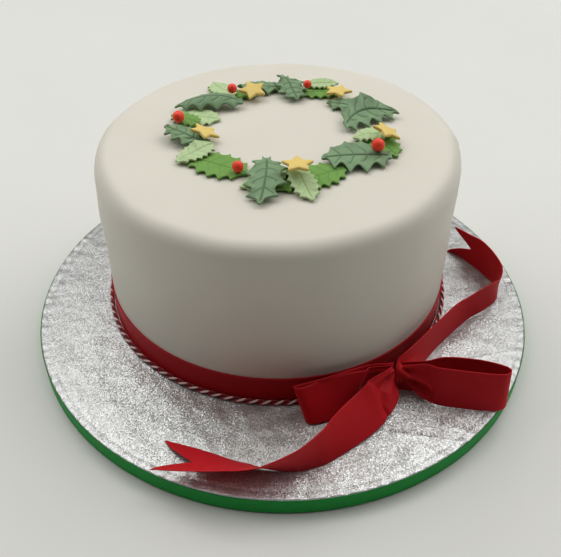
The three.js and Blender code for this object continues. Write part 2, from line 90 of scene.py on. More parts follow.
def gridFaces(rows, columns, wrapRows=False, wrapColumns=False, flip=False):
    # quads between neighbouring places of a grid, and the (row, column) of every corner
    row, column = np.indices((rows - 1 + wrapRows, columns - 1 + wrapColumns))
    ring = [(0, 0), (1, 0), (1, 1), (0, 1)]
    corners = np.stack([np.stack([row + a, column + b], -1) for a, b in ring], -2)
    corners = corners.reshape(-1, 4, 2)
    if flip:
        corners = corners[:, ::-1]
    faces = (corners[..., 0] % rows) * columns + corners[..., 1] % columns
    return faces, corners


def closedShell(upper, lower):
    # two grids of places, the upper one on the outer side, joined all round their rim
    rows, columns = upper.shape[:2]
    faces, corners = gridFaces(rows, columns)
    size = rows * columns
    index = np.arange(size).reshape(rows, columns)
    rimAt = np.concatenate([index[:, 0], index[-1, 1:-1], index[::-1, -1], index[0, -2:0:-1]])
    rim = np.stack([rimAt // columns, rimAt % columns], -1)
    after = np.roll(np.arange(len(rim)), -1)
    rimFaces = np.stack([rimAt[after], rimAt, rimAt + size, rimAt[after] + size], -1)
    rimCorners = np.stack([rim[after], rim, rim, rim[after]], 1)
    return (np.concatenate([upper.reshape(-1, 3), lower.reshape(-1, 3)]),
            np.concatenate([faces, faces[:, ::-1] + size, rimFaces]),
            np.concatenate([corners, corners[:, ::-1], rimCorners]))


def joinShells(shells):
    # several shells of (places, faces, corner places) as one
    places, faces, cornerPlaces = zip(*shells)
    firsts = np.cumsum([0, *map(len, places)])
    allFaces = [own + first for own, first in zip(faces, firsts)]
    return np.concatenate(places), np.concatenate(allFaces), np.concatenate(cornerPlaces)


def turnedSolid(places):
    # a solid of revolution from rings of places, bottom ring first, closed by two poles
    rows, columns = places.shape[:2]
    faces, _ = gridFaces(rows, columns, wrapColumns=True, flip=True)
    poles = np.stack([places[0].mean(0), places[-1].mean(0)])
    this = np.arange(columns)
    following = np.roll(this, -1)
    last = (rows - 1) * columns
    low = np.stack([np.full(columns, rows * columns), following, this], -1)
    high = np.stack([np.full(columns, rows * columns + 1), last + this, last + following], -1)
    allFaces = [*faces.tolist(), *low.tolist(), *high.tolist()]
    return np.concatenate([places.reshape(-1, 3), poles]), allFaces


def addObject(name, data):
    made = bpy.data.objects.new(name, data)
    scene.collection.objects.link(made)
    return made


def addPiece(name, places, faces, material, replaced, cornerPlaces=None):
    faceLists = faces.tolist() if isinstance(faces, np.ndarray) else faces
    mesh = bpy.data.meshes.new(name)
    mesh.from_pydata((places * mm).tolist(), [], faceLists)
    mesh.polygons.foreach_set("use_smooth", np.ones(len(mesh.polygons), bool))
    if cornerPlaces is not None:  # the surface's own millimetres, along and across
        layer = mesh.uv_layers.new(name="surface")
        layer.data.foreach_set("uv", cornerPlaces.astype(np.float32).ravel())
    mesh.materials.append(material)
    piece = addObject(name, mesh)
    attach(piece, "root")
    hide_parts(*replaced)
    return piece


def addFloats(piece, name, values):
    # one value for each place of the piece, for its material to read
    attribute = piece.data.attributes.new(name, "FLOAT", "POINT")
    attribute.data.foreach_set("value", values.astype(np.float32).ravel())


def waves(x, y, size, seed, count=7):
    # sine waves in seeded directions, each about size long, summed to about -1 to 1
    shortest, longest = 0.7, 1.5  # shares of the size
    draw = np.random.default_rng(seed)
    heading = draw.uniform(0, 2 * np.pi, count)
    number = 2 * np.pi / (size * draw.uniform(shortest, longest, count))
    phase = draw.uniform(0, 2 * np.pi, count)
    run = x[..., None] * np.cos(heading) + y[..., None] * np.sin(heading)
    return np.sin(run * number + phase).sum(-1) / np.sqrt(count)


def fullTurn(count):
    return np.linspace(0, 2 * np.pi, count, endpoint=False)


def roundAxis(centre, ring, turn, height):
    # places at a radius and a turn about an upright axis
    return np.stack([centre[0] + ring * np.cos(turn), centre[1] + ring * np.sin(turn), height], -1)


def smoothStep(value, low, high):
    # 0 up to low, 1 from high on, and an S curve between
    t = np.clip((value - low) / (high - low), 0, 1)
    return t * t * (3 - 2 * t)


# Camera at the photograph's place

cameraSettings = {
    "place": (-2.18, -345.65, 323.94),
    "downTilt": 41.0,  # degrees below the horizon
    "turn": 0.115,  # degrees to the right
    "roll": 0.315,  # degrees
    "focalPixels": 718.16, "framePixels": 561, "sensor": 36.0, "nearest": 10.0,
}


def addCamera(settings):
    tilt, turn, roll = np.radians([settings[key] for key in ("downTilt", "turn", "roll")])
    ahead = np.array([np.sin(turn) * np.cos(tilt), np.cos(turn) * np.cos(tilt), -np.sin(tilt)])
    level = np.array([np.cos(turn), -np.sin(turn), 0])
    upright = np.cross(level, ahead)
    right = np.cos(roll) * level + np.sin(roll) * upright
    up = np.cos(roll) * upright - np.sin(roll) * level
    data = bpy.data.cameras.new("photoCamera")
    data.sensor_width = settings["sensor"]
    data.lens = settings["focalPixels"] * settings["sensor"] / settings["framePixels"]
    data.clip_start = settings["nearest"] * mm
    camera = addObject("photoCamera", data)
    matrix = np.eye(4)
    matrix[:3, :3] = np.stack([right, up, -ahead], 1)
    matrix[:3, 3] = np.array(settings["place"]) * mm
    camera.matrix_world = Matrix(matrix.tolist())
    scene.camera = camera


addCamera(cameraSettings)
print("camera placed")


# Materials


def embossedFoil():
    # aluminium foil pressed onto board with a fine crackle roller: each facet of the crackle
    # leans its own way and glitters, and at a shallow view the colour darkens as painted shade for facets
    # that shade one another
    facet, lean = 0.4 * mm, 0.5
    lumpSize, lumpHeight = 4.0 * mm, 0.5 * mm
    patchSize, patchHeight = 18.0 * mm, 4.0 * mm  # where the sheet lies unevenly on the board
    shadeFrom, shadeFull = 0.15, 0.5  # painted shade starts and is full at these values of one less the cosine between the view and the normal
    material, tree, shader = startMaterial("embossedFoil", {"Metallic": 0.7, "Roughness": 0.37})
    place = addNode(tree, "TexCoord")
    lumps = addNode(tree, "TexNoise", {"Scale": 1 / lumpSize, "Detail": 2.0}, {"Vector": (place, "Object")})
    patches = addNode(tree, "TexNoise", {"Scale": 1 / patchSize, "Detail": 1.0},
                      {"Vector": (place, "Object")})
    sheet = addNode(tree, "Bump", {"Strength": 0.6, "Distance": patchHeight}, {"Height": (patches, "Fac")})
    bump = addNode(tree, "Bump", {"Strength": 0.5, "Distance": lumpHeight},
                   {"Height": (lumps, "Fac"), "Normal": (sheet, "Normal")})
    facets = addNode(tree, "TexVoronoi", {"Scale": 1 / facet}, {"Vector": (place, "Object")})
    centred = addNode(tree, "VectorMath", {"operation": "SUBTRACT", 1: (0.5, 0.5, 0.5)},
                      {0: (facets, "Color")})
    leaning = addNode(tree, "VectorMath", {"operation": "SCALE", "Scale": lean},
                      {0: (centred, "Vector")})
    summed = addNode(tree, "VectorMath", {"operation": "ADD"},
                     {0: (leaning, "Vector"), 1: (bump, "Normal")})
    unit = addNode(tree, "VectorMath", {"operation": "NORMALIZE"}, {0: (summed, "Vector")})
    # painted shade: the base colour goes from the light grey to the dark grey as the view grows shallow
    slant = addNode(tree, "LayerWeight", {"Blend": 0.5})
    hidden = addNode(tree, "MapRange", {"From Min": shadeFrom, "From Max": shadeFull},
                     {"Value": (slant, "Facing")})
    ground = addNode(tree, "Mix", {"data_type": "RGBA", mixLow: linear("#D1D2D1"),
                                   mixHigh: linear("#929392")}, {"Factor": (hidden, "Result")})
    finishMaterial(tree, shader, ground, unit, "Vector")
    return material


def satinRibbon(name, colours, width):
    # polyester satin woven with floats along the ribbon: smooth, with a soft sheen and firm hems
    thread = 0.55  # weft spacing, twice as coarse as the cloth so that it shows
    hemLine, hemBlur, hemShare = width / 2 - 1.0, 0.15, 0.6
    cloudSize, floatLength, floatWidth = 14.0, 9.0, 0.6
    floatTone, cloudTone, ribShare = 0.6, 0.4, 0.25
    material, tree, shader = startMaterial(name, {
        "Roughness": 0.5, "IOR": 1.5, "Specular IOR Level": 0.1,
        "Subsurface Weight": 0.35, "Subsurface Radius": (1.0, 0.3, 0.3), "Subsurface Scale": 0.5 * mm})
    surface = addNode(tree, "UVMap", {"uv_map": "surface"})
    split = addNode(tree, "SeparateXYZ", links={"Vector": (surface, "UV")})
    cloud = addNode(tree, "TexNoise", {"Scale": 1 / cloudSize, "Detail": 2.0}, {"Vector": (surface, "UV")})
    stretch = addNode(tree, "Mapping", {"Scale": (1 / floatLength, 1 / floatWidth, 1.0)},
                      {"Vector": (surface, "UV")})
    floats = addNode(tree, "TexNoise", {"Scale": 1.0, "Detail": 3.0}, {"Vector": (stretch, "Vector")})
    weft = addNode(tree, "Math", {"operation": "MULTIPLY", 1: 2 * np.pi / thread}, {0: (split, "X")})
    ribs = addNode(tree, "Math", {"operation": "SINE"}, {0: (weft, "Value")})
    away = addNode(tree, "Math", {"operation": "ABSOLUTE"}, {0: (split, "Y")})
    hemMask = addNode(tree, "MapRange", {"From Min": hemLine - hemBlur, "From Max": hemLine + hemBlur,
                                         "To Max": hemShare}, {"Value": (away, "Value")})
    tone = addNode(tree, "Math", {"operation": "MULTIPLY", 1: floatTone}, {0: (floats, "Fac")})
    toneBoth = addNode(tree, "Math", {"operation": "MULTIPLY_ADD", 1: cloudTone},
                       {0: (cloud, "Fac"), 2: (tone, "Value")})
    ground = addNode(tree, "Mix", {"data_type": "RGBA", mixLow: linear(colours["shade"]),
                                   mixHigh: linear(colours["body"])}, {"Factor": (toneBoth, "Value")})
    edged = addNode(tree, "Mix", {"data_type": "RGBA", mixHigh: linear(colours["hem"])},
                    {"Factor": (hemMask, "Result"), mixLow: (ground, mixOut)})
    ribHeight = addNode(tree, "Math", {"operation": "MULTIPLY_ADD", 1: ribShare},
                        {0: (ribs, "Value"), 2: (floats, "Fac")})
    bump = addNode(tree, "Bump", {"Strength": 0.22, "Distance": 0.06 * mm}, {"Height": (ribHeight, "Value")})
    finishMaterial(tree, shader, edged, bump)
    return material


def rolledFondant():
    # rolled sugar paste polished with a smoother: warm white, satin, faintly powdery
    cloudSize, powderSize = 38 * mm, 0.9 * mm
    material, tree, shader = startMaterial("rolledFondant", {
        "IOR": 1.45, "Specular IOR Level": 0.35,
        "Subsurface Weight": 0.12, "Subsurface Radius": (1.0, 0.8, 0.55), "Subsurface Scale": 2.5 * mm})
    place = addNode(tree, "TexCoord")
    cloud = addNode(tree, "TexNoise", {"Scale": 1 / cloudSize, "Detail": 3.0}, {"Vector": (place, "Object")})
    powder = addNode(tree, "TexNoise", {"Scale": 1 / powderSize, "Detail": 2.0},
                     {"Vector": (place, "Object")})
    ground = addNode(tree, "Mix", {"data_type": "RGBA", mixLow: linear("#D9D4C7"),
                                   mixHigh: linear("#DDD9CD")}, {"Factor": (cloud, "Fac")})
    gloss = addNode(tree, "MapRange", {"From Min": 0.3, "From Max": 0.7, "To Min": 0.44, "To Max": 0.58},
                    {"Value": (cloud, "Fac")})
    bump = addNode(tree, "Bump", {"Strength": 0.12, "Distance": 0.08 * mm}, {"Height": (powder, "Fac")})
    tree.links.new(gloss.outputs["Result"], shader.inputs["Roughness"])
    finishMaterial(tree, shader, ground, bump)
    return material


def flowerPaste(name, body, deep, roughness):
    # coloured sugar paste, rolled and cut by hand: matt and evenly tinted, with painted shade in the veins
    cloudSize, grainSize = 7 * mm, 0.5 * mm
    material, tree, shader = startMaterial(name, {
        "Roughness": roughness, "IOR": 1.45, "Specular IOR Level": 0.35,
        "Subsurface Weight": 0.08, "Subsurface Radius": (1.0, 0.9, 0.6), "Subsurface Scale": 1.0 * mm})
    place = addNode(tree, "TexCoord")
    veinPressAndShade = addNode(tree, "Attribute", {"attribute_name": "veinPressAndShade"})
    cloud = addNode(tree, "TexNoise", {"Scale": 1 / cloudSize, "Detail": 3.0}, {"Vector": (place, "Object")})
    sugar = addNode(tree, "TexNoise", {"Scale": 1 / grainSize, "Detail": 2.0}, {"Vector": (place, "Object")})
    tint = addNode(tree, "MapRange", {"From Min": 0.35, "From Max": 0.65, "To Max": 0.22},
                   {"Value": (cloud, "Fac")})
    # the deep colour comes in by a random tint, and in the veins as painted shade
    depth = addNode(tree, "Math", {"operation": "MAXIMUM"}, {0: (tint, "Result"), 1: (veinPressAndShade, "Fac")})
    ground = addNode(tree, "Mix", {"data_type": "RGBA", mixLow: linear(body), mixHigh: linear(deep)},
                     {"Factor": (depth, "Value")})
    bump = addNode(tree, "Bump", {"Strength": 0.2, "Distance": 0.06 * mm}, {"Height": (sugar, "Fac")})
    finishMaterial(tree, shader, ground, bump)
    return material


def cottonTwine():
    # two-ply cotton cord, a white and a red yarn in each ply: matt and stringy, with painted shade where the
    # plies meet
    yarn = 0.5  # fibre bundles across a ply
    yarnSlant = 0.45
    material, tree, shader = startMaterial("cottonTwine", {
        "Roughness": 0.85, "Sheen Weight": 0.3, "Specular IOR Level": 0.2})
    surface = addNode(tree, "UVMap", {"uv_map": "surface"})
    split = addNode(tree, "SeparateXYZ", links={"Vector": (surface, "UV")})
    white = addNode(tree, "Attribute", {"attribute_name": "white"})
    grooveShade = addNode(tree, "Attribute", {"attribute_name": "grooveShade"})
    slant = addNode(tree, "Math", {"operation": "MULTIPLY_ADD", 1: yarnSlant},
                    {0: (split, "X"), 2: (split, "Y")})
    turns = addNode(tree, "Math", {"operation": "MULTIPLY", 1: 2 * np.pi / yarn}, {0: (slant, "Value")})
    fibres = addNode(tree, "Math", {"operation": "SINE"}, {0: (turns, "Value")})
    yarns = addNode(tree, "Mix", {"data_type": "RGBA", mixLow: linear("#A51C26"),
                                  mixHigh: linear("#E6CCC6")}, {"Factor": (white, "Fac")})
    # painted shade: dark red on each ply's inner side, where the plies meet
    shaded = addNode(tree, "Mix", {"data_type": "RGBA", mixHigh: linear("#4A0E12")},
                     {"Factor": (grooveShade, "Fac"), mixLow: (yarns, mixOut)})
    bump = addNode(tree, "Bump", {"Strength": 0.35, "Distance": 0.1 * mm}, {"Height": (fibres, "Value")})
    finishMaterial(tree, shader, shaded, bump)
    return material


def paintedTable():
    # white painted board under the drum: plain, pale and matt
    cloudSize = 120 * mm
    material, tree, shader = startMaterial("paintedTable", {"Roughness": 0.6, "Specular IOR Level": 0.3})
    place = addNode(tree, "TexCoord")
    cloud = addNode(tree, "TexNoise", {"Scale": 1 / cloudSize, "Detail": 2.0}, {"Vector": (place, "Object")})
    ground = addNode(tree, "Mix", {"data_type": "RGBA", mixLow: linear("#DADAD6"),
                                   mixHigh: linear("#DFDFDB")}, {"Factor": (cloud, "Fac")})
    tree.links.new(ground.outputs[mixOut], shader.inputs["Base Color"])
    return material


# Floor and light, in metres and watts

floorSettings = {"half": 4.0, "drop": 0.0001}  # the drop keeps it apart from the drum's face
lampTarget = (0, 0, 0.06)
lightSettings = {
    "backLeft": {"place": (-0.75, 0.68, 1.15), "size": (0.9, 0.9), "power": 6.5},
    "backRight": {"place": (0.75, 0.68, 1.15), "size": (0.9, 0.9), "power": 6.9},
    "left": {"place": (-1.35, 0.05, 0.95), "size": (0.9, 1.2), "power": 4.3},
    "right": {"place": (1.35, 0.02, 0.95), "size": (0.9, 1.2), "power": 4.7},
}
roomSettings = {
    "low": 0.054,  # radiance near the floor
    "high": 1.25,  # added in the brightest direction
    "power": 4.0,
    "overhead": (0.0, 0.46, 0.888),  # the brightest direction, a little behind the cake
}


def addStage(settings):
    half = settings["half"]
    ends = [(-half, -half), (half, -half), (half, half), (-half, half)]
    mesh = bpy.data.meshes.new("floor")
    mesh.from_pydata([(x, y, -settings["drop"]) for x, y in ends], [], [(0, 1, 2, 3)])
    mesh.materials.append(paintedTable())
    floor = addObject("floor", mesh)


def addLamps(lights, target):
    for name, light in lights.items():
        data = bpy.data.lights.new(name, "AREA")
        data.shape = "RECTANGLE"
        data.size, data.size_y = light["size"]
        data.energy = light["power"]
        lamp = addObject(name, data)
        lamp.location = light["place"]
        lamp.rotation_mode = "QUATERNION"
        lamp.rotation_quaternion = (Vector(target) - lamp.location).to_track_quat("-Z", "Y")


def addRoom(settings):
    # a white room that is brightest overhead and falls off to the walls
    world = bpy.data.worlds.new("studio")
    world.use_nodes = True
    tree = world.node_tree
    tree.nodes.clear()
    direction = addNode(tree, "TexCoord")
    toward = addNode(tree, "VectorMath", {"operation": "DOT_PRODUCT", 1: settings["overhead"]},
                     {0: (direction, "Generated")})
    above = addNode(tree, "Math", {"operation": "MAXIMUM", 1: 0.0}, {0: (toward, "Value")})
    fall = addNode(tree, "Math", {"operation": "POWER", 1: settings["power"]}, {0: (above, "Value")})
    level = addNode(tree, "Math", {"operation": "MULTIPLY_ADD", 1: settings["high"], 2: settings["low"]},
                    {0: (fall, "Value")})
    glow = addNode(tree, "Background", {"Color": linear("#FBFAF6")},
                   {"Strength": (level, "Value")})
    addNode(tree, "OutputWorld", links={"Surface": (glow, "Background")})
    scene.world = world


addRoom(roomSettings)
addStage(floorSettings)
addLamps(lightSettings, lampTarget)
print("floor and lights set")


# Foil drum

drumSettings = {
    "radius": 151.9, "height": 12.0, "corner": 0.8, "footCorner": 0.25, "cornerRows": 5, "columns": 900,
    "undersideRings": [2, 60, 120, 148],
    "topRings": 80, "hiddenRings": 8,
    "topGaps": (0.5, 1),  # from the corner and the hidden part to the next ring
    "detailFrom": 84.0,  # inside this radius the cake hides the foil
    "detailFull": 96.0,
    "lumps": {"height": 0.03, "size": 8.0, "seed": 3},
    "crimp": {"depth": 0.22, "radius": 147.2, "width": 0.9},
    "pleats": {"height": 0.2, "reach": 3.5, "size": 6.0, "seed": 11, "count": 9},
    "highest": 0.5,  # above the height
    "creaseFade": (-3, 6),  # from a crease's end, where it starts and where it is full
    # creases: start x, y, end x, y, height, width
    "creases": [(56, -111, 101, -118.5, 0.45, 1.2), (88, -106.5, 103, -112, 0.36, 1.0),
                (68, -118, 84, -126, 0.32, 1.4), (42, -126, 56, -135, 0.36, 1.5),
                (104, -60, 146, -49, 0.32, 1.2), (-128, 62, -112, 78, 0.28, 1.4),
                (-60, 118, -30, 140, 0.32, 1.3), (30, 125, 62, 134, 0.32, 1.3)],
}


def creaseHeight(x, y, crease, fadeEnds):
    # a sharp ridge along a line: falls off exponentially to the sides and fades at its ends
    startX, startY, endX, endY, height, width = crease
    alongX, alongY = endX - startX, endY - startY
    length = np.hypot(alongX, alongY)
    along = ((x - startX) * alongX + (y - startY) * alongY) / length
    across = ((y - startY) * alongX - (x - startX) * alongY) / length
    fade = smoothStep(along, *fadeEnds) * smoothStep(length - along, *fadeEnds)
    return height * fade * np.exp(-np.abs(across) / width)


def foilDrum(settings):
    # profile from the underside's middle out, up the edge and back over the top, turned
    # about the axis; the top has lumps, creases, edge pleats and a pressed line
    radius, height, corner = settings["radius"], settings["height"], settings["corner"]
    foot, detailFrom = settings["footCorner"], settings["detailFrom"]
    underside, topRings = settings["undersideRings"], settings["topRings"]
    lump, crimp, pleat = settings["lumps"], settings["crimp"], settings["pleats"]
    bend = np.linspace(0, np.pi / 2, settings["cornerRows"])
    inner = radius - corner
    outGap, inGap = settings["topGaps"]
    hidden = np.linspace(detailFrom, underside[0], settings["hiddenRings"])
    profileRadius = np.concatenate([underside, radius - foot + foot * np.sin(bend),
                                    inner + corner * np.cos(bend),
                                    np.linspace(inner - outGap, detailFrom + inGap, topRings), hidden])
    profileHeight = np.concatenate([np.zeros(len(underside)), foot - foot * np.cos(bend),
                                    height - corner + corner * np.sin(bend),
                                    np.full(topRings + len(hidden), height)])
    turn = fullTurn(settings["columns"])
    ring = profileRadius[:, None] * np.ones_like(turn)
    x, y = ring * np.cos(turn), ring * np.sin(turn)
    level = profileHeight[:, None] * np.ones_like(turn)
    onTop = smoothStep(level, height - corner, height) * smoothStep(ring, detailFrom, settings["detailFull"])
    lumps = lump["height"] * waves(x, y, lump["size"], lump["seed"])
    creases = sum(creaseHeight(x, y, crease, settings["creaseFade"]) for crease in settings["creases"])
    line = -crimp["depth"] * np.exp(-((ring - crimp["radius"]) / crimp["width"]) ** 2)
    edge = np.exp(-(radius - ring) / pleat["reach"])
    swell = waves(turn * radius, 0 * turn, pleat["size"], pleat["seed"], pleat["count"])
    pleats = pleat["height"] * edge * swell
    level = level + onTop * (lumps + creases + line + pleats - pleat["height"] * edge)
    level = np.minimum(level, height + settings["highest"])
    places, faces = turnedSolid(np.stack([x, y, level], -1))
    addPiece("foil_drum", places, faces, embossedFoil(), ["board"])


foilDrum(drumSettings)
print("foil drum made")


# Ribbons that go round: the drum's edge and the foot of the cake, whose sizes they follow

cakeSettings = {
    "centre": (-3.65, 15.1),
    "footRadius": 105.0, "topRadius": 104.2,
    "height": 105.0, "edge": 9.5, "slope": 0.018, "columns": 288,
    "undersideRings": [20, 70],
    "sideRows": 40, "edgeRows": 22, "topRows": 40, "innermost": 3,
    "clearOfBand": (24, 50),  # heights between which the unevenness comes in
    "sideFrom": (60, 95),  # radii between which the side's unevenness comes in
    "sideUneven": {"height": 0.35, "size": 55, "seed": 5},
    "topUneven": {"height": 0.1, "size": 45, "seed": 8},
}
drumTop = drumSettings["height"]
cakeCentre = cakeSettings["centre"]
sideLean = (cakeSettings["topRadius"] - cakeSettings["footRadius"]) / cakeSettings["height"]

hemSettings = {
    "width": 1.0, "height": 0.12, "rounding": 0.15,
    "step": (-0.1, 0.2),  # from the hem's line, where it rises
    "innerGap": 0.6,  # from that line to the plain rows
    "innerRows": 9,
}
rippleSettings = {"height": 0.1, "size": 60, "count": 5}
edgeRibbonSettings = {
    "centre": (0, 0), "radius": 151.95, "lean": 0.0, "low": 0.9,
    "width": 10.2, "thickness": 0.4, "wovenWidth": 10.4, "seed": 16,
    "colours": {"body": "#229E42", "shade": "#1C8C38", "hem": "#1C8A38"},
}
footBandSettings = {
    "centre": cakeCentre, "radius": 105.12, "lean": sideLean, "low": drumTop + 0.3,
    "width": 18.0, "thickness": 0.7, "wovenWidth": 18.0, "seed": 9,
    # painted shade: the band's red is darker than the bow's, for the shade the band stands in at the cake's
    # foot
    "colours": {"body": "#B81B23", "shade": "#A4161E", "hem": "#B4212A"},
}


def ribbonRing(name, settings, materialName, replaced, steps=360):
    # a band of ribbon: the outer face carries two raised hems, the inner face is plain, and
    # the whole ripples a little up and down
    hem, raised, rounding = (hemSettings[key] for key in ("width", "height", "rounding"))
    radius, low = settings["radius"], settings["low"]
    half = settings["width"] / 2
    hemFoot, hemTop = (half - hem + step for step in hemSettings["step"])
    inside = half - hem - hemSettings["innerGap"]
    across = np.concatenate([[-half, -half + rounding, -hemTop, -hemFoot],
                             np.linspace(-inside, inside, hemSettings["innerRows"]),
                             [hemFoot, hemTop, half - rounding, half]])
    onHem = smoothStep(np.abs(across), hemFoot, hemTop)
    atRim = np.abs(across) == half
    outer = settings["thickness"] - raised + raised * onHem - rounding * atRim
    profileAcross = np.concatenate([across, [half, -half]])
    profileOut = np.concatenate([outer, [0.0, 0.0]])
    turn = fullTurn(steps)
    swell = waves(turn * radius, 0 * turn, rippleSettings["size"], settings["seed"], rippleSettings["count"])
    level = low + half + profileAcross[:, None] + rippleSettings["height"] * swell
    ring = radius + profileOut[:, None] + settings["lean"] * (level - low)
    places = roundAxis(settings["centre"], ring, turn, level)
    rows = len(profileAcross)
    faces, corners = gridFaces(rows, steps, wrapRows=True, wrapColumns=True, flip=True)
    alongPlace = corners[..., 1] * (2 * np.pi * radius / steps)
    acrossPlace = profileAcross[corners[..., 0] % rows]
    material = satinRibbon(materialName, settings["colours"], settings["wovenWidth"])
    addPiece(name, places.reshape(-1, 3), faces, material, replaced,
             np.stack([alongPlace, acrossPlace], -1))


ribbonRing("drum_edge_ribbon", edgeRibbonSettings, "greenSatin", ["board_ribbon"])
ribbonRing("foot_band", footBandSettings, "redBandSatinPaintedShade", ["base_ribbon"])
print("edge ribbon and band made")


# Cake


def icedCake(settings):
    # profile up the side, round the top edge and in to the middle, turned about the axis;
    # the top slopes along X and the paste is a little uneven
    edge, tall, topRadius = settings["edge"], settings["height"], settings["topRadius"]
    underside, topRows = settings["undersideRings"], settings["topRows"]
    onSide, onTop = settings["sideUneven"], settings["topUneven"]
    sideHeight = np.linspace(0, tall - edge, settings["sideRows"])
    sideRadius = settings["footRadius"] + sideLean * sideHeight
    bend = np.linspace(0, np.pi / 2, settings["edgeRows"])[1:]
    profileRadius = np.concatenate([underside, sideRadius,
                                    topRadius - edge + edge * np.sin(np.pi / 2 - bend),
                                    np.linspace(topRadius - edge, settings["innermost"], topRows)[1:]])
    profileHeight = np.concatenate([np.zeros(len(underside)), sideHeight,
                                    tall - edge + edge * np.sin(bend), np.full(topRows - 1, tall)])
    turn = fullTurn(settings["columns"])
    ring = profileRadius[:, None] * np.ones_like(turn)
    level = profileHeight[:, None] * np.ones_like(turn)
    clear = smoothStep(level, *settings["clearOfBand"])
    arc = turn * topRadius
    swell = waves(arc + 0 * level, level, onSide["size"], onSide["seed"])
    ring = ring + onSide["height"] * clear * smoothStep(ring, *settings["sideFrom"]) * swell
    x, y = ring * np.cos(turn), ring * np.sin(turn)
    lift = settings["slope"] * x * level / tall
    lift = lift + onTop["height"] * clear * waves(x, y, onTop["size"], onTop["seed"])
    places, faces = turnedSolid(roundAxis(cakeCentre, ring, turn, drumTop + level + lift))
    addPiece("iced_cake", places, faces, rolledFondant(), ["cake"])


icedCake(cakeSettings)
print("cake made")


# Twine round the foot

twineSettings = {
    "ring": 107.7,
    "centreHeight": 1.6,  # above the drum
    "plyRadius": 0.82,
    "plyOffset": 0.7,  # ply's middle from the cord's middle
    "turns": 48,
    "whiteFacing": 0.7,  # radians above level at which each ply's white yarn comes to the surface
    "whiteRun": (0.25, 0.7),  # cosines from that facing between which the white comes in
    "whiteSpread": (0.3, 0.75),  # the same, round the ply
    "grooveShadeSpread": (-0.3, 0.4),  # the same, for the painted shade on the ply's inner side
    "stepsPerTurn": 24, "around": 12,
}


def twistedTwine(settings):
    # each ply is a tube whose middle circles the cord's ring; two plies half a turn apart
    offset, thick = settings["plyOffset"], settings["plyRadius"]
    steps = settings["turns"] * settings["stepsPerTurn"]
    stride = 2 * np.pi * np.array([settings["ring"] / steps, thick / settings["around"]])
    turn = fullTurn(steps)[:, None]
    skin = fullTurn(settings["around"])
    shells, white, grooveShade = [], [], []
    for ply in range(2):
        twist = settings["turns"] * turn + ply * np.pi
        ring = settings["ring"] + offset * np.cos(twist) + thick * np.cos(twist + skin)
        rise = offset * np.sin(twist) + thick * np.sin(twist + skin)
        places = roundAxis(cakeCentre, ring, turn, drumTop + settings["centreHeight"] + rise)
        faces, corners = gridFaces(steps, settings["around"], wrapRows=True, wrapColumns=True)
        shells.append((places.reshape(-1, 3), faces, corners * stride))
        facing = np.cos(twist - settings["whiteFacing"])
        white.append(smoothStep(np.cos(skin), *settings["whiteSpread"])
                     * smoothStep(facing, *settings["whiteRun"]))
        # painted shade on each ply's inner side, where it meets the other ply
        dark = smoothStep(-np.cos(skin), *settings["grooveShadeSpread"])
        grooveShade.append(np.broadcast_to(dark, places.shape[:2]))
    places, faces, cornerPlaces = joinShells(shells)
    piece = addPiece("foot_twine", places, faces, cottonTwine(), ["twine"], cornerPlaces)
    addFloats(piece, "white", np.stack(white))
    addFloats(piece, "grooveShade", np.stack(grooveShade))


twistedTwine(twineSettings)
print("twine made")


# Bow: five runs of one tied ribbon, each through stations of [x, y, height above the drum,
# direction across the ribbon (x, y, z), share of the full width]

